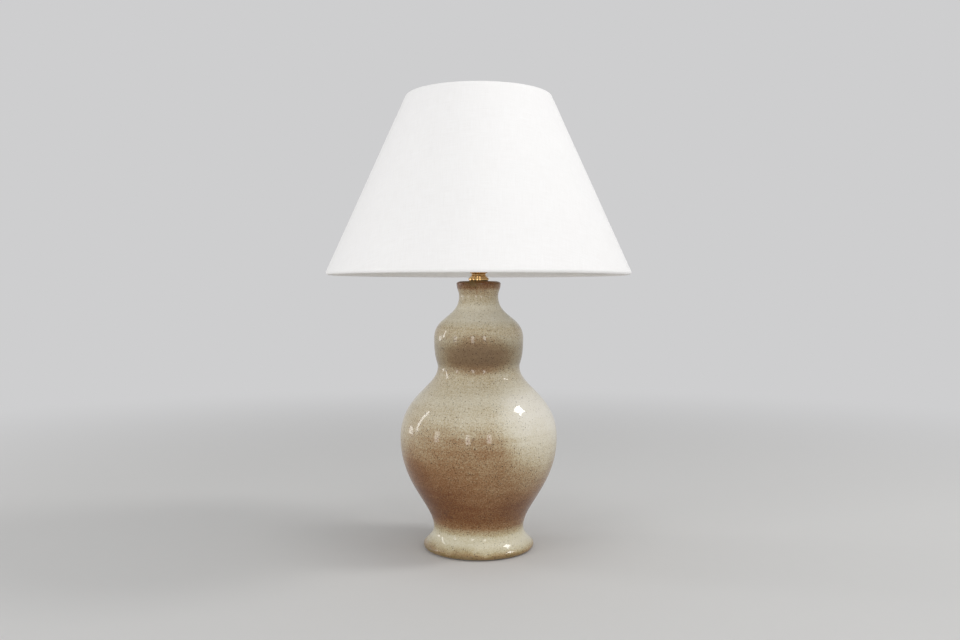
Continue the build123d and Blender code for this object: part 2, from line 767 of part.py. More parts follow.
def bulb_glass():
    """Hollow glass envelope, its neck held in the screw base."""
    def envelope(inset):
        neck_z = bulb_base_top_z - bulb_neck_in_base
        centre_z = bulb_z + bulb_length - bulb_glass_r
        neck = (bulb_neck_r - inset, bulb_base_top_z)
        widest = (bulb_glass_r - inset, centre_z)
        stem = Line((bulb_neck_r - inset, neck_z), neck)
        flank = upright_curve(neck, widest, bulb_glass_fullness)
        crown = quarter_curve(widest, (0, centre_z + bulb_glass_r - inset))
        closing = Polyline(crown @ 1, (0, neck_z), stem @ 0)
        return make_face([stem, flank, crown, closing])

    return turned(envelope(0) - envelope(bulb_glass_wall))


NODES = {
    "ceramic_body": ceramic_body,
    "felt_pad": felt_pad,
    "cord_grommet": cord_grommet,
    "lamp_pipe": lamp_pipe,
    "seat_washer": seat_washer,
    "lock_washer": lock_washer,
    "bottom_nut": bottom_nut,
    "neck_washer": neck_washer,
    "check_ring": check_ring,
    "brass_neck": brass_neck,
    "harp_saddle": harp_saddle,
    "harp_wire": harp_wire,
    "left_ferrule": lambda: ferrule(-1),
    "right_ferrule": lambda: ferrule(1),
    "harp_swivel": harp_swivel,
    "spider_hub": spider_hub,
    "spider_arms": spider_arms,
    "top_ring": lambda: rim_ring(upper_rim),
    "bottom_ring": lambda: rim_ring(lower_rim),
    "shade_cover": shade_cover,
    "shade_liner": shade_liner,
    "finial": finial,
    "finial_insert": finial_insert,
    "socket_cap": socket_cap,
    "cap_set_screw": cap_set_screw,
    "socket_shell": socket_shell,
    "insulating_sleeve": insulating_sleeve,
    "socket_body": socket_body,
    "screw_shell": screw_shell,
    "centre_contact": centre_contact,
    "terminal_screws": terminal_screws,
    "switch_shaft": switch_shaft,
    "switch_knob": switch_knob,
    "bulb_contact": bulb_contact,
    "bulb_insulator": bulb_insulator,
    "bulb_base_shell": bulb_base_shell,
    "bulb_glass": bulb_glass,
}

os.makedirs("parts", exist_ok=True)
for name, build in NODES.items():
    export_step(build(), os.path.join("parts", name + ".step"))
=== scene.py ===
import math

import bpy
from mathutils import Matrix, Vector


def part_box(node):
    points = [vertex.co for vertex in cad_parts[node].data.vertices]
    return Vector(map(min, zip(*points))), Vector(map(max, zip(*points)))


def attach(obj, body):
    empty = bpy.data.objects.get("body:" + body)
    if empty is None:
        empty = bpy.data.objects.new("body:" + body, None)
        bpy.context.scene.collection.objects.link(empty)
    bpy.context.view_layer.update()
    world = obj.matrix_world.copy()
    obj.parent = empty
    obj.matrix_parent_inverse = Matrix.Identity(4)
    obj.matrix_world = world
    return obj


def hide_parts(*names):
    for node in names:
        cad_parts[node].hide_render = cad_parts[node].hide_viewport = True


# The looks of the double gourd lamp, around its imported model. Metres, +Z up, the front faces -Y.

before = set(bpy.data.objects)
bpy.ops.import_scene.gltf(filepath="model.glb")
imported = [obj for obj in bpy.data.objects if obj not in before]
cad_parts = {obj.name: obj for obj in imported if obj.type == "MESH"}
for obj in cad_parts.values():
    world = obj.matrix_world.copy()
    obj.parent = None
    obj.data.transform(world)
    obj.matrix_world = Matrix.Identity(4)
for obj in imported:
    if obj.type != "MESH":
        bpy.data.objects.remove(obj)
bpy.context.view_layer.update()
scene = bpy.context.scene

MM = 0.001
BACK = math.pi / 2      # angle of the back of the lamp, counted from +X


def srgb(red, green, blue):
    """Linear colour of an 8 bit display colour."""
    linear = []
    for value in (red, green, blue):
        share = value / 255
        linear.append(share / 12.92 if share <= 0.04045 else ((share + 0.055) / 1.055) ** 2.4)
    return (*linear, 1.0)


# ---------------------------------------------------------------------------------------------
# Node graphs


class Graph:
    """Builds one material's nodes. Every vector is a point of the object in metres."""

    def __init__(self, name):
        self.material = bpy.data.materials.new(name)
        self.material.use_nodes = True
        self.tree = self.material.node_tree
        self.tree.nodes.clear()
        self.output = self.tree.nodes.new("ShaderNodeOutputMaterial")
        self.shader = self.tree.nodes.new("ShaderNodeBsdfPrincipled")
        self.tree.links.new(self.shader.outputs[0], self.output.inputs[0])
        self.point = self.tree.nodes.new("ShaderNodeTexCoord").outputs["Object"]

    def put(self, socket, value):
        """Links an output to a socket, or sets the socket's own value."""
        if isinstance(value, bpy.types.NodeSocket):
            self.tree.links.new(value, socket)
        else:
            socket.default_value = value

    def set(self, **values):
        """Sets the shader's sockets, with _ for a space in their names."""
        for name, value in values.items():
            self.put(self.shader.inputs[name.replace("_", " ")], value)

    def math(self, operation, first, second=0.0):
        node = self.tree.nodes.new("ShaderNodeMath")
        node.operation = operation
        for socket, value in zip(node.inputs, (first, second)):
            self.put(socket, value)
        return node.outputs[0]

    def add(self, first, second):
        return self.math("ADD", first, second)

    def times(self, first, second):
        return self.math("MULTIPLY", first, second)

    def axes(self):
        node = self.tree.nodes.new("ShaderNodeSeparateXYZ")
        self.put(node.inputs[0], self.point)
        return node.outputs

    def vector(self, x, y, z):
        node = self.tree.nodes.new("ShaderNodeCombineXYZ")
        for socket, value in zip(node.inputs, (x, y, z)):
            self.put(socket, value)
        return node.outputs[0]

    def scaled(self, x, y, z):
        """The point with its axes stretched, for noise that runs one way."""
        node = self.tree.nodes.new("ShaderNodeVectorMath")
        node.operation = "MULTIPLY"
        self.put(node.inputs[0], self.point)
        node.inputs[1].default_value = (x, y, z)
        return node.outputs[0]

    def noise(self, scale, detail=2.0, roughness=0.5, vector=None):
        """Noise from 0 to 1, with scale in waves a metre."""
        node = self.tree.nodes.new("ShaderNodeTexNoise")
        self.put(node.inputs["Vector"], self.point if vector is None else vector)
        node.inputs["Scale"].default_value = scale
        node.inputs["Detail"].default_value = detail
        node.inputs["Roughness"].default_value = roughness
        return node.outputs[0]

    def cells(self, scale):
        """Distance to the nearest of scattered points, and random numbers for each of them."""
        node = self.tree.nodes.new("ShaderNodeTexVoronoi")
        self.put(node.inputs["Vector"], self.point)
        node.inputs["Scale"].default_value = scale
        split = self.tree.nodes.new("ShaderNodeSeparateColor")
        self.put(split.inputs[0], node.outputs["Color"])
        return node.outputs["Distance"], split.outputs

    def span(self, value, low, high, to_low=0.0, to_high=1.0, smooth=False):
        """Maps low to high onto another range, held at its ends."""
        node = self.tree.nodes.new("ShaderNodeMapRange")
        node.interpolation_type = "SMOOTHSTEP" if smooth else "LINEAR"
        names = ("Value", "From Min", "From Max", "To Min", "To Max")
        for name, number in zip(names, (value, low, high, to_low, to_high)):
            self.put(node.inputs[name], number)
        return node.outputs[0]

    def ramp(self, value, stops, smooth=True):
        """Colour or grey that runs through stops of (place, colour or number)."""
        node = self.tree.nodes.new("ShaderNodeValToRGB")
        node.color_ramp.interpolation = "EASE" if smooth else "LINEAR"
        self.put(node.inputs[0], value)
        elements = node.color_ramp.elements
        while len(elements) < len(stops):
            elements.new(0.5)
        for element, (place, colour) in zip(elements, stops):
            element.position = place
            element.color = colour if isinstance(colour, tuple) else (colour, colour, colour, 1.0)
        return node.outputs[0]

    def mix(self, share, first, second):
        """Colour that goes from the first to the second with the share."""
        node = self.tree.nodes.new("ShaderNodeMix")
        node.data_type = "RGBA"
        for name, value in zip((0, 6, 7), (share, first, second)):
            self.put(node.inputs[name], value)
        return node.outputs[2]

    def bump(self, height, distance, normal=None):
        """Normal of a surface raised by height times distance, in metres."""
        node = self.tree.nodes.new("ShaderNodeBump")
        node.inputs["Strength"].default_value = 1.0
        node.inputs["Distance"].default_value = distance
        self.put(node.inputs["Height"], height)
        if normal is not None:
            self.put(node.inputs["Normal"], normal)
        return node.outputs[0]


# ---------------------------------------------------------------------------------------------
# Materials

MILK = srgb(228, 223, 211)
CREAM = srgb(211, 203, 182)
SAND = srgb(190, 176, 147)
TAN = srgb(165, 141, 107)
BROWN = srgb(140, 103, 66)
UMBER = srgb(110, 63, 22)
IRON = srgb(92, 54, 20)
ASH = srgb(114, 106, 82)
SPECK = srgb(66, 42, 22)
LICHEN = srgb(196, 188, 140)
MOSS = srgb(120, 102, 50)
CLAY = srgb(172, 136, 104)

# The glaze's own lengths are in mm

BODY_TOP = 329.5

# Glaze thickness up the body, as (height, share of the full coat). It is partly painted light and shade:
# the thin brown places under the belly and under the upper bulb are partly painted shade and painted
# reflection of a dark surface below, and the high coat from 284 to 296 mm, just below the shade, is partly
# painted light against the shade's shadow.
GLAZE_COAT_LIGHT_AND_SHADE = (
    (2.6, 0.00),
    (5.0, 0.20),
    (8.0, 0.56),
    (11.5, 0.86),
    (17.0, 1.06),
    (23.0, 0.96),
    (30.0, 0.62),
    (38.0, 0.33),
    (48.0, 0.22),
    (61.0, 0.20),
    (75.0, 0.30),
    (90.0, 0.40),
    (104.0, 0.41),
    (116.0, 0.44),
    (127.0, 0.53),
    (146.0, 0.68),
    (158.0, 0.80),
    (172.0, 0.88),
    (190.0, 0.95),
    (204.0, 0.86),
    (214.0, 0.78),
    (224.0, 0.70),
    (234.0, 0.62),
    (246.0, 0.68),
    (258.0, 0.78),
    (271.0, 0.76),
    (284.0, 1.04),
    (296.0, 1.02),
    (307.0, 0.78),
    (317.0, 0.66),
    (323.0, 0.34),
    (328.0, 0.15),
)

# Colours of the glaze by its thickness, with the grain in it. The whitest, milk, is reached mostly on the
# right side and just below the shade, where it is partly painted light and painted reflection.
MILK_COAT = 1.35
GLAZE_TONES = (
    (0.00, IRON),
    (0.16, UMBER),
    (0.38, BROWN),
    (0.58, TAN),
    (0.78, SAND),
    (1.00, CREAM),
    (MILK_COAT, MILK),
)

# How much the coat changes by its cloudy patches, its turned bands and a metre of x, and how far its
# heights drift and run. The change along x makes the right side creamier: partly real glaze, partly painted
# light where the key lamp falls.
PATCH_CHANGE = 0.26
BAND_CHANGE = 0.16
SIDE_TONE_AND_LIGHT = 0.6
DRIFT = 10.0
RUNS = 5.0

# Thick and thin places on the front, as (x, y, z, half width, half height, change of the coat). The first,
# on the right, is partly painted light where the key lamp falls; the fourth, low on the upper bulb, is
# partly painted shade.
GLAZE_AND_LIGHT_PATCHES = (
    (78, -58, 155, 76, 76, 0.35),
    (4, -97, 143, 52, 24, -0.14),
    (-72, -60, 88, 64, 36, -0.13),
    (0, -54, 241, 54, 28, -0.44),
    (-46, -84, 144, 38, 22, -0.10),
    (-94, -20, 140, 44, 40, 0.14),
)

# Iron specks, each kind as (spacing, largest radius, strength)
SPECK_SIZES = ((6.4, 0.95, 1.0), (2.7, 0.74, 0.95), (1.7, 0.56, 0.90))
SPECK_RISE = 0.02
PEEL_DEPTH = 0.022

# Heights between which the grey ash band, the lichen tone of the foot and the two moss rims come in
ASH_BAND = (212.0, 234.0, 246.0, 272.0)
ASH_SHARE = 0.5
LICHEN_FADE = (36.0, 22.0)
LICHEN_SHARE = 0.26
MOSS_FOOT = (8.0, 5.0)
MOSS_LIP = (319.0, 324.0)
MOSS_SHARE = 0.5


def glaze_material():
    """Speckled gloss glaze: cream where it lies thick, brown where it ran thin over the iron. Part of its
    brown under the bulges is painted shade, and part of its cream on the right and just below the shade is
    painted light.
    """
    g = Graph("speckled_glaze")
    x, y, z = g.axes()
    drift = g.add(g.noise(14, 2.0), -0.5)
    runs = g.add(g.noise(1.0, 3.0, 0.6, g.scaled(110, 110, 12)), -0.5)
    height = g.add(z, g.add(g.times(drift, DRIFT * MM), g.times(runs, RUNS * MM)))
    # The height table brings painted shade under the bulges and painted light just below the shade.
    coat = g.ramp(g.times(height, 1 / (BODY_TOP * MM)), [(h / BODY_TOP, c) for h, c in GLAZE_COAT_LIGHT_AND_SHADE])
    patches = g.add(g.noise(26, 3.0, 0.6), -0.5)
    bands = g.add(g.noise(1.0, 3.0, 0.6, g.scaled(7, 7, 210)), -0.5)
    mottle = g.add(g.noise(620, 3.0, 0.75), -0.5)
    coat = g.add(coat, g.add(g.times(patches, PATCH_CHANGE), g.times(bands, BAND_CHANGE)))
    # Partly painted light: the coat rises towards +x, the side the key lamp lights.
    coat = g.add(coat, g.times(x, SIDE_TONE_AND_LIGHT))
    # The first patch is partly painted light, the fourth partly painted shade.
    for px, py, pz, half_width, half_height, change in GLAZE_AND_LIGHT_PATCHES:
        sizes = (half_width, half_width, half_height)
        reach = None
        for axis, middle, size in zip((x, y, z), (px, py, pz), sizes):
            side = g.times(g.add(axis, -middle * MM), 1 / (size * MM))
            reach = g.times(side, side) if reach is None else g.add(reach, g.times(side, side))
        coat = g.add(coat, g.times(g.span(reach, 1.0, 0.0, smooth=True), change))
    grained = g.add(coat, mottle)
    colour = g.ramp(
        g.times(grained, 1 / MILK_COAT),
        [(coat_at / MILK_COAT, tone) for coat_at, tone in GLAZE_TONES],
        smooth=False,
    )
    ash_low, ash_full, ash_fade, ash_high = (edge * MM for edge in ASH_BAND)
    ash = g.times(g.span(z, ash_low, ash_full, smooth=True), g.span(z, ash_high, ash_fade, smooth=True))
    colour = g.mix(g.times(ash, ASH_SHARE), colour, ASH)
    foot_rim, lip_rim = (g.span(z, start * MM, full * MM) for start, full in (MOSS_FOOT, MOSS_LIP))
    moss = g.math("MAXIMUM", foot_rim, lip_rim)
    moss = g.times(g.times(moss, g.span(g.noise(70, 3.0), 0.42, 0.62)), MOSS_SHARE)
    colour = g.mix(g.span(z, LICHEN_FADE[0] * MM, LICHEN_FADE[1] * MM, 0.0, LICHEN_SHARE), colour, LICHEN)
    colour = g.mix(moss, colour, MOSS)

    crowd = g.times(g.span(coat, 1.05, 0.62, 0.26, 1.0), g.span(g.noise(34, 2.0), 0.35, 0.6, 0.55, 1.0))
    specks = None
    for spacing, size, strength in SPECK_SIZES:
        distance, chance = g.cells(1 / (spacing * MM))
        reach = g.span(chance[1], 0.0, 1.0, 0.5 * size / spacing, size / spacing)
        spot = g.span(distance, g.times(reach, 1.15), g.times(reach, 0.6))
        spot = g.times(g.times(spot, g.math("LESS_THAN", chance[0], crowd)), strength)
        specks = spot if specks is None else g.math("MAXIMUM", specks, spot)
    colour = g.mix(g.times(specks, g.span(coat, 0.6, 1.0, 1.0, 0.66)), colour, SPECK)

    peel = g.noise(170, 2.0)
    normal = g.bump(peel, PEEL_DEPTH * MM)
    normal = g.bump(specks, SPECK_RISE * MM, normal)
    g.set(Base_Color=colour, Roughness=g.span(g.noise(90, 3.0), 0.3, 0.7, 0.34, 0.46), Normal=normal)
    g.set(Specular_IOR_Level=0.2, Coat_Weight=0.6, Coat_Roughness=0.04)
    g.put(g.shader.inputs["Coat Normal"], normal)
    return g.material


def clay_material():
    """Bare fired stoneware under the foot and inside the body."""
    g = Graph("bare_stoneware")
    tone = g.noise(160, 4.0, 0.65)
    colour = g.mix(g.span(tone, 0.3, 0.7), srgb(150, 114, 84), CLAY)
    distance, chance = g.cells(700)
    grog = g.times(g.span(distance, 0.3, 0.15), g.math("LESS_THAN", chance[0], 0.4))
    colour = g.mix(g.times(grog, 0.6), colour, srgb(98, 70, 50))
    g.set(Base_Color=colour, Roughness=g.span(tone, 0.3, 0.7, 0.78, 0.92))
    g.set(Normal=g.bump(g.noise(900, 3.0), 0.08 * MM))
    return g.material


def metal_material(name, light, dark, rough, turned=0.0, smudge=0.12):
    """Metal with turning marks, faint smudges and a little tarnish. The marks follow height."""
    g = Graph(name)
    tarnish = g.span(g.noise(120, 4.0, 0.6), 0.40, 0.75)
    g.set(Base_Color=g.mix(g.times(tarnish, 0.7), light, dark), Metallic=1.0)
    lines = g.noise(1.0, 2.0, 0.6, g.scaled(30, 30, 5200))
    marks = g.noise(240, 3.0)
    rough_tone = g.add(g.times(marks, smudge), g.times(lines, 0.08))
    g.set(Roughness=g.add(rough_tone, rough))
    fine = g.bump(g.noise(1600, 2.0), 0.004 * MM)
    g.set(Normal=g.bump(lines, turned * MM, fine) if turned else fine)
    return g.material


def shade_fabric_material(slant, apex_z):
    """Plain weave of fine slubbed yarn. It is drawn on the flat cut that wraps the cone."""
    g = Graph("shade_weave")
    x, y, z = g.axes()
    reach = g.math("DIVIDE", g.math("SUBTRACT", apex_z, z), math.cos(slant))
    turn = g.times(g.math("ARCTAN2", x, g.times(y, -1.0)), math.sin(slant))
    across = g.times(reach, g.math("SINE", turn))
    along = g.times(reach, g.math("COSINE", turn))
    pitch = 0.62 * MM
    warp = g.math("SINE", g.times(across, 2 * math.pi / pitch))
    weft = g.math("SINE", g.times(along, 2 * math.pi / pitch))
    weave = g.times(g.add(g.math("ABSOLUTE", warp), g.math("ABSOLUTE", weft)), 0.5)
    warp_slub = g.noise(1.0, 3.0, 0.6, g.vector(g.times(across, 900), g.times(along, 45), 0.0))
    weft_slub = g.noise(1.0, 3.0, 0.6, g.vector(g.times(across, 45), g.times(along, 900), 3.0))
    slub = g.times(g.add(warp_slub, weft_slub), 0.5)
    tone = g.add(g.times(slub, 0.75), g.times(weave, 0.25))
    cloud = g.noise(9, 2.0)
    light = g.mix(g.span(tone, 0.35, 0.68), srgb(240, 238, 236), srgb(250, 249, 248))
    colour = g.mix(g.times(g.span(cloud, 0.3, 0.7), 0.22), light, srgb(239, 237, 235))
    g.set(Base_Color=colour, Roughness=g.span(slub, 0.3, 0.7, 0.72, 0.88))
    g.set(Sheen_Weight=0.12, Sheen_Roughness=0.5, Specular_IOR_Level=0.25)
    normal = g.bump(slub, 0.10 * MM)
    g.set(Normal=g.bump(weave, 0.04 * MM, normal))
    return g.material


def styrene_material():
    """Smooth white backing sheet, with the weave faintly pressed through."""
    g = Graph("styrene_sheet")
    tone = g.noise(26, 3.0)
    g.set(Base_Color=g.mix(tone, srgb(236, 234, 228), srgb(246, 245, 241)))
    g.set(Roughness=g.span(g.noise(300, 2.0), 0.3, 0.7, 0.38, 0.52))
    g.set(Normal=g.bump(g.noise(1500, 2.0), 0.012 * MM))
    return g.material


def felt_material():
    """Pressed wool felt: matted fibres with a soft nap."""
    g = Graph("wool_felt")
    fibres = g.noise(1.0, 4.0, 0.7, g.scaled(2600, 700, 2600))
    crossed = g.noise(1.0, 4.0, 0.7, g.scaled(700, 2600, 2600))
    matted = g.math("MAXIMUM", fibres, crossed)
    g.set(Base_Color=g.mix(g.span(matted, 0.35, 0.75), srgb(70, 74, 64), srgb(118, 122, 108)))
    g.set(Roughness=g.span(matted, 0.3, 0.7, 0.88, 0.98))
    g.set(Sheen_Weight=0.5, Sheen_Roughness=0.6)
    g.set(Normal=g.bump(matted, 0.18 * MM))
    return g.material


def moulded_material(name, light, dark, rough, mottle=60, gloss=0.5):
    """Moulded plastic or rubber: slight flow marks, a fine skin and uneven gloss."""
    g = Graph(name)
    flow = g.noise(mottle, 4.0, 0.6)
    g.set(Base_Color=g.mix(g.span(flow, 0.3, 0.7), dark, light))
    g.set(Roughness=g.span(g.noise(420, 3.0), 0.3, 0.7, rough, rough + 0.12))
    g.set(Specular_IOR_Level=gloss)
    g.set(Normal=g.bump(g.noise(2200, 2.0), 0.012 * MM))
    return g.material


def card_material():
    """Brown insulating card, with long fibres."""
    g = Graph("insulating_card")
    fibres = g.noise(1.0, 4.0, 0.7, g.scaled(900, 900, 120))
    g.set(Base_Color=g.mix(g.span(fibres, 0.3, 0.7), srgb(112, 82, 54), srgb(158, 124, 86)))
    g.set(Roughness=g.span(fibres, 0.3, 0.7, 0.7, 0.85))
    g.set(Normal=g.bump(fibres, 0.05 * MM))
    return g.material


def bulb_glass_material():
    """Soft white coated glass, with a slightly cloudy coat."""
    g = Graph("frosted_glass")
    cloud = g.noise(60, 3.0)
    g.set(Base_Color=g.mix(cloud, srgb(232, 231, 227), srgb(246, 246, 244)))
    g.set(Roughness=g.span(cloud, 0.3, 0.7, 0.22, 0.32))
    g.set(Coat_Weight=0.3, Coat_Roughness=0.12)
    g.set(Normal=g.bump(g.noise(700, 2.0), 0.006 * MM))
    return g.material


def enamel_material():
    """White coated wire of the shade's frame, with thin places in the coat."""
    g = Graph("coated_wire")
    worn = g.span(g.noise(340, 4.0, 0.65), 0.56, 0.74)
    g.set(Base_Color=g.mix(g.times(worn, 0.35), srgb(233, 231, 226), srgb(176, 172, 164)))
    g.set(Roughness=g.span(g.noise(200, 2.0), 0.3, 0.7, 0.30, 0.42))
    g.set(Normal=g.bump(g.noise(900, 3.0), 0.015 * MM))
    return g.material


# ---------------------------------------------------------------------------------------------
# Meshes


def make_mesh(name, points, faces, materials, face_materials=None, sharp_degrees=35):
    """Mesh object with smooth faces, apart from edges sharper than the given angle."""
    mesh = bpy.data.meshes.new(name)
    mesh.from_pydata(points, [], faces)
    for material in materials:
        mesh.materials.append(material)
    if face_materials:
        mesh.polygons.foreach_set("material_index", face_materials)
    mesh.update()
    mesh.validate()
    mesh.shade_smooth()
    mesh.set_sharp_from_angle(angle=math.radians(sharp_degrees))
    piece = bpy.data.objects.new(name, mesh)
    scene.collection.objects.link(piece)
    return piece


def lathe(name, loop, columns, place, materials, loop_materials=None, sharp_degrees=35):
    """Closed solid of revolution. place(radius, height, column, index) gives each point."""
    points = []
    for column in columns:
        for index, (radius, height) in enumerate(loop):
            points.append(place(radius, height, column, index))
    size = len(loop)
    faces = []
    face_materials = []
    for number in range(len(columns)):
        here = number * size
        there = (number + 1) % len(columns) * size
        for index in range(size):
            after = (index + 1) % size
            faces.append((here + index, there + index, there + after, here + after))
            face_materials.append(loop_materials[index] if loop_materials else 0)
    return make_mesh(name, points, faces, materials, face_materials, sharp_degrees)


def round_place(radius, height, column, index):
    """Place of a plain turned point, with the column as its angle."""
    return (radius * math.cos(column), radius * math.sin(column), height)


def turned_point(radius, height, angle):
    """Point of the object in metres, from a radius and a height in mm."""
    return (radius * MM * math.cos(angle), radius * MM * math.sin(angle), height * MM)


def within(value):
    """The value, held between 0 and 1."""
    return min(1.0, max(0.0, value))


def even_columns(count):
    """Angles evenly round the axis."""
    return [2 * math.pi * number / count for number in range(count)]


def bezier(start, first, second, end, steps):
    """Points along a cubic curve, without its start."""
    points = []
    for step in range(1, steps + 1):
        t = step / steps
        s = 1 - t
        weights = (s**3, 3 * s * s * t, 3 * s * t * t, t**3)
        pulls = list(zip(weights, (start, first, second, end)))
        points.append(tuple(sum(w * p[axis] for w, p in pulls) for axis in (0, 1)))
    return points


def straight(start, end, steps):
    """Points along a line, without its start."""
    return [tuple(a + (b - a) * step / steps for a, b in zip(start, end)) for step in range(1, steps + 1)]


def piece_for(piece, body, slot, *nodes):
    """Rides on a body and stands for CAD nodes, which it hides. Its slot is not used."""
    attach(piece, body)
    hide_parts(*nodes)
    return piece


def cut_rods(piece, rods):
    """Cuts round holes, given as (start, end, radius), through a finished mesh."""
    for start, end, radius in rods:
        start, end = Vector(start), Vector(end)
        axis = end - start
        side = axis.orthogonal().normalized()
        other = axis.normalized().cross(side)
        count = 40
        points = []
        for centre in (start, end):
            for angle in even_columns(count):
                points.append(centre + radius * (math.cos(angle) * side + math.sin(angle) * other))
        faces = [(n, (n + 1) % count, count + (n + 1) % count, count + n) for n in range(count)]
        faces.append(tuple(reversed(range(count))))
        faces.append(tuple(range(count, 2 * count)))
        rod = make_mesh("hole_rod", points, faces, [])
        cut = piece.modifiers.new("hole", "BOOLEAN")
        cut.operation = "DIFFERENCE"
        cut.solver = "EXACT"
        cut.object = rod
        evaluated = piece.evaluated_get(bpy.context.evaluated_depsgraph_get())
        mesh = bpy.data.meshes.new_from_object(evaluated)
        piece.modifiers.clear()
        old = piece.data
        piece.data = mesh
        bpy.data.meshes.remove(old)
        rod_mesh = rod.data
        bpy.data.objects.remove(rod)
        bpy.data.meshes.remove(rod_mesh)
    return piece


# ---------------------------------------------------------------------------------------------
# The stoneware gourd, in mm. Its stations are (radius, rise, fullness at the lower end, at the upper end,
# steps).

FOOT_Z = 1.5
FOOT_EDGE_R = 66.0
FLARE = (68.0, 5.4)
STATIONS = (
    (55.6, 20.7, 0.18, 0.58, 22),
    (96.6, 110.7, 0.25, 0.51, 76),
    (50.7, 87.3, 0.60, 0.29, 64),
    (55.3, 34.7, 0.18, 0.75, 26),
    (24.2, 53.0, 0.54, 0.52, 44),
    (27.3, 14.6, 0.30, 0.40, 14),
)
CROWN_RISE = 3.1
CROWN_ROUND = 7.0
CIRCLE = 0.5523
BODY_WALL = 6.0
CAVITY_LOW = 23.5
CAVITY_HIGH = 323.5
PIPE_HOLE_R = 6.5
RECESS = (50.0, 16.5)       # radius and height
CORD_HOLE = (9.5, 4.7)      # height and radius
CORD_HOLE_REACH = (40.0, 80.0)
BARE_TOP = 2.2
GLAZE_STEP = 0.22

# Throwing rings and wobble of the body, and the heights between which they fade in and out
RING_RISE = 0.022
RING_PITCH = 1.12
WOBBLE = 0.10
WOBBLE_INSET = 0.12
THROWN_FROM = 26.0
THROWN_TO = 312.0
THROWN_FADE = 20.0


def gourd_outline(inset, detail=1.0):
    """The flanks of the outline, from the foot's flare to the lip, moved in by inset."""
    point = (FLARE[0] - inset, FLARE[1])
    outline = [point]
    for radius, rise, low, high, steps in STATIONS:
        end = (radius - inset, point[1] + rise)
        first = (point[0], point[1] + low * rise)
        second = (end[0], end[1] - high * rise)
        outline += bezier(point, first, second, end, max(4, int(steps * detail)))
        point = end
    return outline


def gourd_loop():
    """The whole closed section, and for each of its edges whether it is glazed (0) or bare (1)."""
    edge = (FOOT_EDGE_R, FOOT_Z)
    first = (FLARE[0], FLARE[1] - CIRCLE * (FLARE[1] - FOOT_Z))
    second = (FOOT_EDGE_R + CIRCLE * (FLARE[0] - FOOT_EDGE_R), FOOT_Z)
    low_edge = bezier(edge, second, first, FLARE, 9)
    outer = [edge] + low_edge[:-1] + gourd_outline(0.0)
    lip = outer[-1]
    top = (lip[0] - CROWN_ROUND, lip[1] + CROWN_RISE)
    across = top[0] - lip[0]
    crown = bezier(lip, (lip[0], lip[1] + CIRCLE * CROWN_RISE), (top[0] - CIRCLE * across, top[1]), top, 10)
    outer += crown + straight(top, (PIPE_HOLE_R, top[1]), 4)
    inner = [point for point in gourd_outline(BODY_WALL, 0.35) if CAVITY_LOW < point[1] < CAVITY_HIGH]
    inside = [(PIPE_HOLE_R, CAVITY_HIGH), (inner[-1][0], CAVITY_HIGH)]
    inside += list(reversed(inner))
    inside += [(inner[0][0], CAVITY_LOW), (PIPE_HOLE_R, CAVITY_LOW), (PIPE_HOLE_R, RECESS[1])]
    inside += [RECESS, (RECESS[0], 12.0), (RECESS[0], 6.0), (RECESS[0], FOOT_Z)]
    bare = [1 if z < BARE_TOP else 0 for r, z in outer]
    return outer + inside, bare[:-1] + [1] * (len(inside) + 1), len(outer)


def gourd():
    """Thrown body: soft throwing rings, a slight wobble and a bare clay edge under the glaze."""
    loop, loop_materials, outer_count = gourd_loop()

    def place(radius, height, angle, index):
        if index < outer_count and radius > 12:
            away = within((height - THROWN_FROM) / THROWN_FADE) * within((THROWN_TO - height) / THROWN_FADE)
            rings = math.sin(height / RING_PITCH + 1.6 * math.sin(height / 9.0) + 0.35 * math.sin(angle))
            wobble = math.sin(2 * angle + height / 70) + 0.6 * math.sin(3 * angle - height / 45)
            radius += RING_RISE * away * rings + WOBBLE * away * wobble - WOBBLE_INSET * away
            if height < BARE_TOP:
                radius -= GLAZE_STEP * min(1.0, (BARE_TOP - height) / 0.5)
        return turned_point(radius, height, angle)

    materials = [glaze_material(), clay_material()]
    body = lathe("glazed_gourd", loop, even_columns(192), place, materials, loop_materials, 40)
    hole_z, hole_r = CORD_HOLE
    start, end = ((0, reach * MM, hole_z * MM) for reach in CORD_HOLE_REACH)
    cut_rods(body, [(start, end, hole_r * MM)])
    return piece_for(body, "base", "glaze", "ceramic_body")


# ---------------------------------------------------------------------------------------------
# Shade, in mm. Its wall is drawn from the lower rim: out is square to the wall, up runs along it.

SHADE_LOW = (187.0, 338.0)  # radius and height
SHADE_TOP_R = 88.8
SHADE_HEIGHT = 217.6
COVER = 0.6
LINER = 0.6
RING_WIRE = 1.6
RING_GAP = 0.3
TUCK = 8.0
SLANT = math.atan2(SHADE_LOW[0] - SHADE_TOP_R, SHADE_HEIGHT)
SLANT_LENGTH = math.hypot(SHADE_LOW[0] - SHADE_TOP_R, SHADE_HEIGHT)
ROLL_R = LINER / 2 + RING_WIRE + RING_GAP
ROLL_DEPTH = COVER + ROLL_R
APEX_Z = (SHADE_LOW[1] + SHADE_LOW[0] / math.tan(SLANT)) * MM
SEAM_HALF = 5.0
SEAM_RISE = 0.32
CLOTH_WAVE = 0.06
ARM_WIRE = 1.4
ARM_HOLE_DEPTH = 12


def on_wall(out, up):
    """Radius and height in millimetres of a point given from the lower rim."""
    radius = SHADE_LOW[0] + out * math.cos(SLANT) - up * math.sin(SLANT)
    return (radius, SHADE_LOW[1] + out * math.sin(SLANT) + up * math.cos(SLANT))


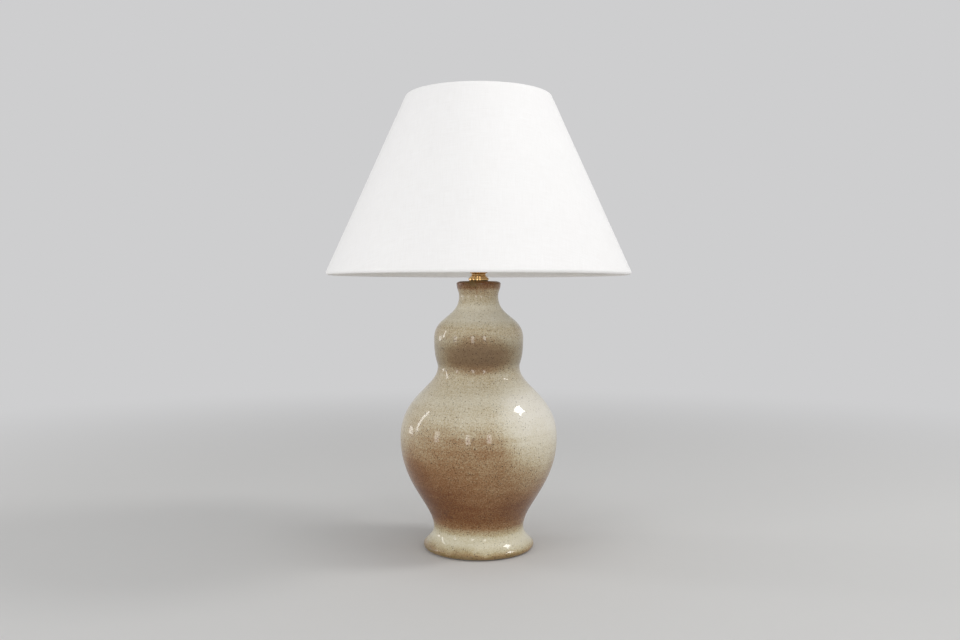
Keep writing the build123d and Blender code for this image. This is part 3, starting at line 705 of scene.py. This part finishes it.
def rolled_face(roll):
    """One face of the cloth round the lower rim, as (out, up), from the flap's tip to the wall."""
    flap_end = ROLL_DEPTH - COVER - LINER - RING_GAP
    flap_length = math.sqrt(flap_end**2 + TUCK**2 - ROLL_R**2)
    lean = math.atan2(ROLL_R, flap_length) + math.atan2(flap_end, TUCK)
    points = []
    for share in (1.0, 0.72, 0.42, 0.16):
        along = flap_length * share
        x = -roll * math.cos(lean) + along * math.sin(lean)
        y = roll * math.sin(lean) + along * math.cos(lean)
        points.append((x - ROLL_DEPTH, y + ROLL_DEPTH))
    steps = 16
    for step in range(steps + 1):
        angle = math.pi + lean - (math.pi + lean) * step / steps
        points.append((roll * math.cos(angle) - ROLL_DEPTH, ROLL_DEPTH - roll * math.sin(angle)))
    return points


def cover_section():
    """Closed section of the cloth as (out, up), its outer face first."""
    section = []
    for roll in (ROLL_DEPTH, ROLL_R):
        low = rolled_face(roll)
        high = [(out, SLANT_LENGTH - up) for out, up in reversed(low)]
        wall = straight(low[-1], high[0], 20)[:-1]
        face = low + wall + high
        section.append(face if roll == ROLL_DEPTH else list(reversed(face)))
    return section[0] + section[1], len(section[0])


def shade_cover():
    """Cloth cover, wrapped round with a lapped seam at the back and rolled at both rims."""
    section, outer_count = cover_section()
    loop = [on_wall(out, up) for out, up in section]
    clear = math.radians(5)
    columns = [BACK + clear + (2 * math.pi - 2 * clear) * n / 320 for n in range(321)]
    seam_start = (-SEAM_HALF - 1.5, -SEAM_HALF, -SEAM_HALF + 0.35)
    seam_end = (SEAM_HALF - 0.2, SEAM_HALF + 0.8)
    columns += [("seam", offset) for offset in (*seam_start, -2.5, 0.0, 2.5, *seam_end)]

    def place(radius, height, column, index):
        lift = 0.0
        if isinstance(column, tuple):
            offset = column[1]
            angle = BACK + offset / radius
            inside_seam = -SEAM_HALF + 0.1 < offset < SEAM_HALF + 0.1
            if index < outer_count and inside_seam:
                lift = SEAM_RISE
        else:
            angle = column
        if index < outer_count:
            swing = math.sin(height / 35 + 2 * math.sin(3 * angle))
            lift += CLOTH_WAVE * math.sin(5 * angle + height / 40) * swing
        radius += lift * math.cos(SLANT)
        height += lift * math.sin(SLANT)
        return turned_point(radius, height, angle)

    cover = lathe("shade_cloth", loop, columns, place, [shade_fabric_material(SLANT, APEX_Z)], None, 50)
    rods = []
    arm_low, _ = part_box("spider_arms")
    hub_z = arm_low.z + ARM_WIRE * MM
    ring_out, ring_height = on_wall(-(COVER + LINER + RING_GAP + RING_WIRE), SLANT_LENGTH - ROLL_DEPTH)
    for number in range(3):
        angle = BACK + number * 2 * math.pi / 3
        start_r, end_r = (ring_out - ARM_HOLE_DEPTH) * MM, ring_out * MM
        start = (start_r * math.cos(angle), start_r * math.sin(angle), hub_z)
        end = (end_r * math.cos(angle), end_r * math.sin(angle), ring_height * MM)
        rods.append((start, end, (ARM_WIRE + RING_GAP) * MM))
    cut_rods(cover, rods)
    return piece_for(cover, "shade", "shade_fabric", "shade_cover")


def shade_liner():
    """Backing sheet laminated inside the cloth."""
    low, high = ROLL_DEPTH, SLANT_LENGTH - ROLL_DEPTH
    outer, inner = -COVER, -COVER - LINER
    section = [(outer, low)] + straight((outer, low), (outer, high), 12)
    section += [(inner, high)] + straight((inner, high), (inner, low), 12)
    loop = [tuple(value * MM for value in on_wall(out, up)) for out, up in section]
    liner = lathe("shade_backing", loop, even_columns(240), round_place, [styrene_material()], None, 40)
    return piece_for(liner, "shade", "styrene", "shade_liner")


# ---------------------------------------------------------------------------------------------
# Felt, threads and bulb


def felt_disc():
    """Felt disc with a soft, slightly ragged cut edge."""
    low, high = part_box("felt_pad")
    radius, thick = high.x / MM, (high.z - low.z) / MM
    middle_r, round_r = 0.8, 0.45
    flat_r, side_top = radius - round_r, thick - round_r
    loop = [(middle_r, 0.0)] + straight((middle_r, 0.0), (flat_r, 0.0), 16)
    loop += bezier((flat_r, 0.0), (radius, 0.0), (radius, 0.0), (radius, round_r), 3)
    loop += [(radius, side_top)]
    loop += bezier((radius, side_top), (radius, thick), (radius, thick), (flat_r, thick), 3)
    loop += straight((flat_r, thick), (middle_r, thick), 16)

    def place(r, z, angle, index):
        ragged = 0.08 * math.sin(37 * angle) * math.sin(53 * angle + 1) + 0.05 * math.sin(97 * angle)
        r += (ragged - 0.13) * max(0.0, (r - radius + 4) / 4)
        return turned_point(r, z, angle)

    felt = lathe("felt_disc", loop, even_columns(180), place, [felt_material()], None, 60)
    return piece_for(felt, "base", "felt", "felt_pad")


# Screw threads of socket and bulb, in mm
THREAD_PITCH = 3.629
THREAD_EASE = 1.5
STEPS_A_TURN = 14
SHELL_DEPTH = 0.6
BASE_DEPTH = 0.7


def thread_heights(bottom, top):
    """Heights close enough together to draw the thread's wave."""
    count = int((top - bottom) / THREAD_PITCH * STEPS_A_TURN)
    return [bottom + (top - bottom) * step / count for step in range(count + 1)]


def thread_dip(height, angle, low, high):
    """Share of the thread's depth at a point. It eases in from low and out to high."""
    ease = within((height - low) / THREAD_EASE) * within((high - height) / THREAD_EASE)
    return ease * (0.5 - 0.5 * math.cos(2 * math.pi * (height / THREAD_PITCH) - angle))


def screw_shell(material):
    """Screw shell of the socket: a thin tube with a rolled round thread and a turned-in floor."""
    low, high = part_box("screw_shell")
    wall, plain, floor_r = 0.5, 1.0, 7.2
    outer = high.x / MM
    bottom, top = low.z / MM, high.z / MM
    heights = thread_heights(bottom, top)
    loop = [(outer, height) for height in heights]
    loop += [(outer - wall, height) for height in reversed(heights)]
    loop[-1] = (outer - wall, bottom + wall)
    loop += [(floor_r, bottom + wall), (floor_r, bottom)]

    def place(radius, height, angle, index):
        if radius > outer - wall - 0.01:
            radius -= SHELL_DEPTH * thread_dip(height, angle, bottom + plain, top - plain)
        return turned_point(radius, height, angle)

    shell = lathe("socket_screw_shell", loop, even_columns(96), place, [material], None, 50)
    return piece_for(shell, "base", "brass", "screw_shell")


def bulb_base(material):
    """Screw base of the bulb: a rolled thread above the taper that grips the black glass."""
    low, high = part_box("bulb_base_shell")
    base_r, wall, taper_rise, collar = 12.9, 0.4, 1.6, 3.2
    bottom, top = low.z / MM, high.z / MM
    tube = bottom + taper_rise
    heights = thread_heights(tube, top)
    loop = [(10.45, bottom), (10.85, bottom)] + [(base_r, height) for height in heights]
    loop += [(base_r - wall, height) for height in reversed(heights)]

    def place(radius, height, angle, index):
        if height >= tube:
            radius -= BASE_DEPTH * thread_dip(height, angle, tube, top - collar)
        return turned_point(radius, height, angle)

    base = lathe("bulb_screw_base", loop, even_columns(96), place, [material], None, 50)
    return piece_for(base, "bulb", "aluminium", "bulb_base_shell")


def bulb_envelope():
    """Thin glass bulb, its neck held in the screw base."""
    low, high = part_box("bulb_glass")
    glass_r, wall, neck_r = 30.0, 0.9, 12.3
    top, bottom = high.z / MM, low.z / MM
    centre = top - glass_r
    loop = []
    for inset in (0.0, wall):
        neck = (neck_r - inset, bottom + 5.0)
        widest = (glass_r - inset, centre)
        rise = centre - neck[1]
        face = [(neck_r - inset, bottom)] + straight((neck_r - inset, bottom), neck, 3)
        first, second = (neck[0], neck[1] + 0.35 * rise), (widest[0], widest[1] - 0.55 * rise)
        face += bezier(neck, first, second, widest, 28)
        radius = glass_r - inset
        arc = [math.pi / 2 * step / 24 for step in range(1, 24)]
        face += [(radius * math.cos(angle), centre + radius * math.sin(angle)) for angle in arc]
        face += [(0.02, centre + radius)]
        loop += face if inset == 0.0 else list(reversed(face))
    loop = [(radius * MM, height * MM) for radius, height in loop]
    glass = lathe("bulb_envelope", loop, even_columns(128), round_place, [bulb_glass_material()], None, 50)
    return piece_for(glass, "bulb", "frosted_glass", "bulb_glass")


# ---------------------------------------------------------------------------------------------
# Assembly: metals, plastics and the nodes that keep their solids

brass = metal_material("polished_brass", srgb(222, 182, 124), srgb(150, 106, 60), 0.07, 0.004, 0.08)
plated = metal_material("plated_brass", srgb(226, 188, 118), srgb(186, 146, 84), 0.20, 0.003)
zinc = metal_material("zinc_plated_steel", srgb(196, 196, 190), srgb(150, 146, 136), 0.30, 0.004)
aluminium = metal_material("pressed_aluminium", srgb(205, 206, 208), srgb(164, 164, 166), 0.26)
solder = metal_material("soft_solder", srgb(188, 188, 188), srgb(138, 138, 140), 0.34)
phenolic = moulded_material("phenolic_moulding", srgb(56, 44, 36), srgb(34, 26, 22), 0.34)
knob_plastic = moulded_material("knob_plastic", srgb(52, 46, 42), srgb(36, 31, 28), 0.24, 90)
rubber = moulded_material("black_rubber", srgb(48, 48, 47), srgb(32, 32, 32), 0.62, 140, 0.3)
black_glass = moulded_material("black_glass", srgb(34, 34, 38), srgb(20, 20, 24), 0.08, 80, 0.6)

CARRIED = {
    rubber: ("cord_grommet", "neck_washer"),
    zinc: (
        "lamp_pipe",
        "seat_washer",
        "lock_washer",
        "bottom_nut",
        "finial_insert",
        "cap_set_screw",
        "switch_shaft",
    ),
    brass: (
        "check_ring",
        "brass_neck",
        "finial",
        "socket_cap",
        "socket_shell",
        "centre_contact",
        "terminal_screws",
        "harp_swivel",
    ),
    plated: ("harp_saddle", "harp_wire", "left_ferrule", "right_ferrule"),
    enamel_material(): ("spider_hub", "spider_arms", "top_ring", "bottom_ring"),
    card_material(): ("insulating_sleeve",),
    phenolic: ("socket_body",),
    knob_plastic: ("switch_knob",),
    solder: ("bulb_contact",),
    black_glass: ("bulb_insulator",),
}
for material, nodes in CARRIED.items():
    for node in nodes:
        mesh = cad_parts[node].data
        mesh.materials.clear()
        mesh.materials.append(material)

gourd()
felt = felt_disc()
cover = shade_cover()
shade_liner()
screw_shell(brass)
bulb_base(aluminium)
bulb_envelope()

# ---------------------------------------------------------------------------------------------
# Stage: a pale floor that fades into a pale surround, a soft key from the right and small windows

SURROUND = srgb(206, 206, 207)
FLOOR_TONE = srgb(214, 213, 211)
FLOOR_HALF = 12.0
FADE_FROM, FADE_TO = 0.55, 1.9


def pale_floor():
    """Pale floor whose far part turns into the surround's own tone."""
    g = Graph("pale_floor")
    x, y, z = g.axes()
    distance = g.math("SQRT", g.add(g.times(x, x), g.times(y, y)))
    dust = g.noise(40, 3.0)
    g.set(Base_Color=g.mix(g.times(dust, 0.06), FLOOR_TONE, srgb(196, 195, 193)))
    g.set(Roughness=0.75, Specular_IOR_Level=0.2)
    glow = g.tree.nodes.new("ShaderNodeEmission")
    glow.inputs["Color"].default_value = SURROUND
    blend = g.tree.nodes.new("ShaderNodeMixShader")
    g.put(blend.inputs[0], g.span(distance, FADE_FROM, FADE_TO, smooth=True))
    g.put(blend.inputs[1], g.shader.outputs[0])
    g.put(blend.inputs[2], glow.outputs[0])
    g.put(g.output.inputs[0], blend.outputs[0])
    corners = [(FLOOR_HALF * x, FLOOR_HALF * y, 0) for x, y in ((-1, -1), (1, -1), (1, 1), (-1, 1))]
    make_mesh("studio_floor", corners, [(0, 1, 2, 3)], [g.material])


AMBIENT = 0.47
AMBIENT_TONE = (0.97, 0.98, 1.0, 1.0)


def surround_world():
    """Even soft light, seen by the camera and in gloss and glass as the pale surround."""
    world = bpy.data.worlds.new("pale_surround")
    world.use_nodes = True
    tree = world.node_tree
    tree.nodes.clear()

    def background(colour, strength):
        node = tree.nodes.new("ShaderNodeBackground")
        node.inputs[0].default_value = colour
        node.inputs[1].default_value = strength
        return node.outputs[0]

    def either(first, second):
        node = tree.nodes.new("ShaderNodeMath")
        node.operation = "MAXIMUM"
        tree.links.new(first, node.inputs[0])
        tree.links.new(second, node.inputs[1])
        return node.outputs[0]

    rays = tree.nodes.new("ShaderNodeLightPath").outputs
    seen = either(rays["Is Camera Ray"], rays["Is Transmission Ray"])
    mix = tree.nodes.new("ShaderNodeMixShader")
    tree.links.new(either(seen, rays["Is Glossy Ray"]), mix.inputs[0])
    tree.links.new(background(AMBIENT_TONE, AMBIENT), mix.inputs[1])
    tree.links.new(background(SURROUND, 1.0), mix.inputs[2])
    out = tree.nodes.new("ShaderNodeOutputWorld")
    tree.links.new(mix.outputs[0], out.inputs[0])
    scene.world = world


TARGET = Vector((0, 0, 0.25))

# Each light: name, azimuth to the right of the front, elevation, distance, width, height, power in
# watts, and whether it shows in gloss
LIGHTS = (
    ("key_window", 88, 42, 2.2, 0.52, 0.44, 11.0, True),
    ("key_bounce", 70, 25, 2.4, 1.60, 1.20, 5.0, False),
    ("left_strip", -101, 18, 2.0, 0.18, 1.10, 4.5, True),
    ("ceiling_panel", 10, 70, 2.2, 0.80, 0.80, 5.0, True),
    ("fill_left", -48, 6, 2.6, 1.50, 0.90, 9.8, False),
    ("fill_right", 30, 6, 2.6, 1.50, 0.90, 8.4, False),
    ("window_a", -62, 5, 3.5, 0.48, 1.00, 7.5, True),
    ("window_b", -116, 1, 3.5, 0.60, 0.45, 4.0, True),
    ("window_c", -15, 5, 3.5, 0.40, 1.10, 8.8, True),
    ("window_d", 15, 7, 3.5, 0.40, 1.00, 8.0, True),
)


def area_light(name, azimuth, elevation, distance, width, height, power, in_gloss):
    """Rectangular lamp that faces the object."""
    a, e = math.radians(azimuth), math.radians(elevation)
    away = Vector((math.sin(a) * math.cos(e), -math.cos(a) * math.cos(e), math.sin(e)))
    data = bpy.data.lights.new(name, "AREA")
    data.shape = "RECTANGLE"
    data.size = width
    data.size_y = height
    data.energy = power
    lamp = bpy.data.objects.new(name, data)
    lamp.location = TARGET + away * distance
    lamp.rotation_euler = away.to_track_quat("Z", "Y").to_euler()
    lamp.visible_camera = False
    lamp.visible_glossy = in_gloss
    scene.collection.objects.link(lamp)


pale_floor()
surround_world()
for light in LIGHTS:
    area_light(*light)

# The camera's place, lens in mm and dip in degrees were fitted to the ellipses of the shade and the foot
CAMERA_PLACE = (0.0017, -1.1221, 0.3173)
CAMERA_LENS = 34.06
CAMERA_DIP = 1.83

camera_data = bpy.data.cameras.new("camera")
camera_data.sensor_width = 36.0
camera_data.lens = CAMERA_LENS
camera = bpy.data.objects.new("camera", camera_data)
camera.location = CAMERA_PLACE
camera.rotation_euler = (math.radians(90 - CAMERA_DIP), 0, 0)
scene.collection.objects.link(camera)
scene.camera = camera
scene.view_settings.view_transform = "Standard"
